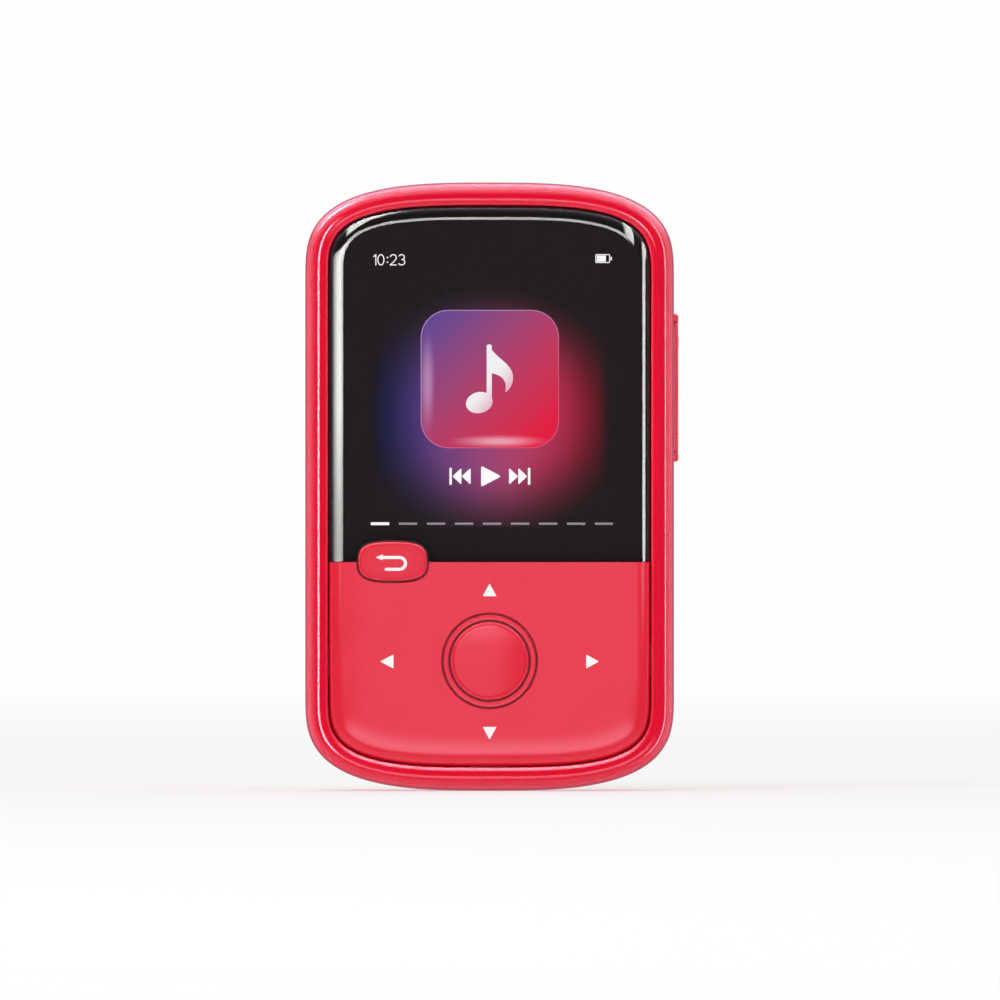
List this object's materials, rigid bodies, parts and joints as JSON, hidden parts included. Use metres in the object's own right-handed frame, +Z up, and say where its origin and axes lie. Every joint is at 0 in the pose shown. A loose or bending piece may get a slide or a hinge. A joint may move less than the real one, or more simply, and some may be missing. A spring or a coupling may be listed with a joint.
{
  "type": "clip-on digital audio player",
  "caption": "Pocket audio player with a colour display, a rocking direction pad round a select key, a back key, a side volume rocker and a sprung clip behind.",
  "frame": {"origin": "under the middle of the player, level with its lowest point and half way through its thickness", "axes": "+Z up the case from the direction pad to the display, +X to the right seen from the front, +Y from the display to the clip, so the display faces -Y"},
  "size_m": [0.0405, 0.0169, 0.066],
  "materials": {
    "red_shell": "coral red gloss moulding with a clear hard coat",
    "red_face": "satin-gloss coral red face plate",
    "red_key": "satin-gloss coral red key caps",
    "lens_black": "clear acrylic window with a black printed back, high gloss",
    "lcd_glass": "colour display glass",
    "backlight_white": "white light-guide frame and connector nylon",
    "foam_black": "closed-cell foam, matt",
    "silicone_grey": "grey silicone rubber",
    "solder_mask_green": "green solder mask over glass-fibre laminate",
    "chip_epoxy": "black moulding compound",
    "steel": "bright stainless sheet and wire",
    "dark_steel": "blackened screw steel",
    "film_amber": "amber polyimide film",
    "battery_pouch": "laminated aluminium pouch",
    "moulded_black": "black nylon moulding",
    "wire_red": "red wire insulation",
    "wire_black": "black wire insulation"
  },
  "bodies": {
    "case": {"battery_cell": "battery_pouch", "battery_lead_negative": "wire_black", "battery_lead_positive": "wire_red", "battery_plug": "backlight_white", "battery_tape": "foam_black", "card_socket": "steel", "clip_pin": "steel", "clip_spring": "steel", "crystal": "steel", "display_frame": "moulded_black", "display_lens": "lens_black", "dome_sheet": "film_amber", "dpad_collar": "red_face", "flash_memory_chip": "chip_epoxy", "front_bezel": "red_shell", "headphone_jack": "moulded_black", "lcd_backlight": "backlight_white", "lcd_panel": "lcd_glass", "lcd_ribbon": "film_amber", "lens_gasket": "foam_black", "main_pcb": "solder_mask_green", "power_manager_chip": "chip_epoxy", "power_switch": "steel", "processor_chip": "chip_epoxy", "radio_chip": "chip_epoxy", "rear_housing": "red_shell", "screw_bottom_left": "dark_steel", "screw_bottom_right": "dark_steel", "screw_top_left": "dark_steel", "screw_top_right": "dark_steel", "side_key_board": "solder_mask_green", "switch_dome_back": "steel", "switch_dome_down": "steel", "switch_dome_left": "steel", "switch_dome_right": "steel", "switch_dome_select": "steel", "switch_dome_up": "steel", "usb_shell": "steel", "usb_tongue": "moulded_black", "volume_switch_down": "steel", "volume_switch_up": "steel"},
    "select_key": {"select_button": "red_key"},
    "pad_gimbal": {"dpad_pivot_ring": "silicone_grey"},
    "pad_rocker": {"dpad_plate": "red_face"},
    "back_key": {"back_button": "red_key"},
    "volume_key": {"volume_rocker": "red_key"},
    "power_key": {"power_button": "red_key"},
    "clip_arm": {"clip": "red_shell"}
  },
  "joints": [
    {"name": "select_press", "type": "slide", "parent": "case", "child": "select_key", "axis": [0, 1, 0], "range_m": [0, 0.0003], "stiffness_N_per_m": 60},
    {"name": "pad_tilt_up_down", "type": "hinge", "parent": "case", "child": "pad_gimbal", "pos_m": [0, -0.00657, 0.0141], "axis": [1, 0, 0], "range_deg": [-1.8, 1.8], "stiffness_Nm_per_rad": 0.02},
    {"name": "pad_tilt_left_right", "type": "hinge", "parent": "pad_gimbal", "child": "pad_rocker", "pos_m": [0, -0.00657, 0.0141], "axis": [0, 0, 1], "range_deg": [-1.25, 1.25], "stiffness_Nm_per_rad": 0.02},
    {"name": "back_press", "type": "slide", "parent": "case", "child": "back_key", "axis": [0, 1, 0], "range_m": [0, 0.0003], "stiffness_N_per_m": 60},
    {"name": "volume_rock", "type": "hinge", "parent": "case", "child": "volume_key", "pos_m": [0.0182, -0.0013, 0.04375], "axis": [0, 1, 0], "range_deg": [-2.2, 2.2], "stiffness_Nm_per_rad": 0.01},
    {"name": "power_press", "type": "slide", "parent": "case", "child": "power_key", "axis": [0, 0, -1], "range_m": [0, 0.0003], "stiffness_N_per_m": 60},
    {"name": "clip_open", "type": "hinge", "parent": "case", "child": "clip_arm", "pos_m": [0, 0.0049, 0.049], "axis": [1, 0, 0], "range_deg": [0, 17], "stiffness_Nm_per_rad": 0.15, "deforming": ["clip_spring"]}
  ]
}
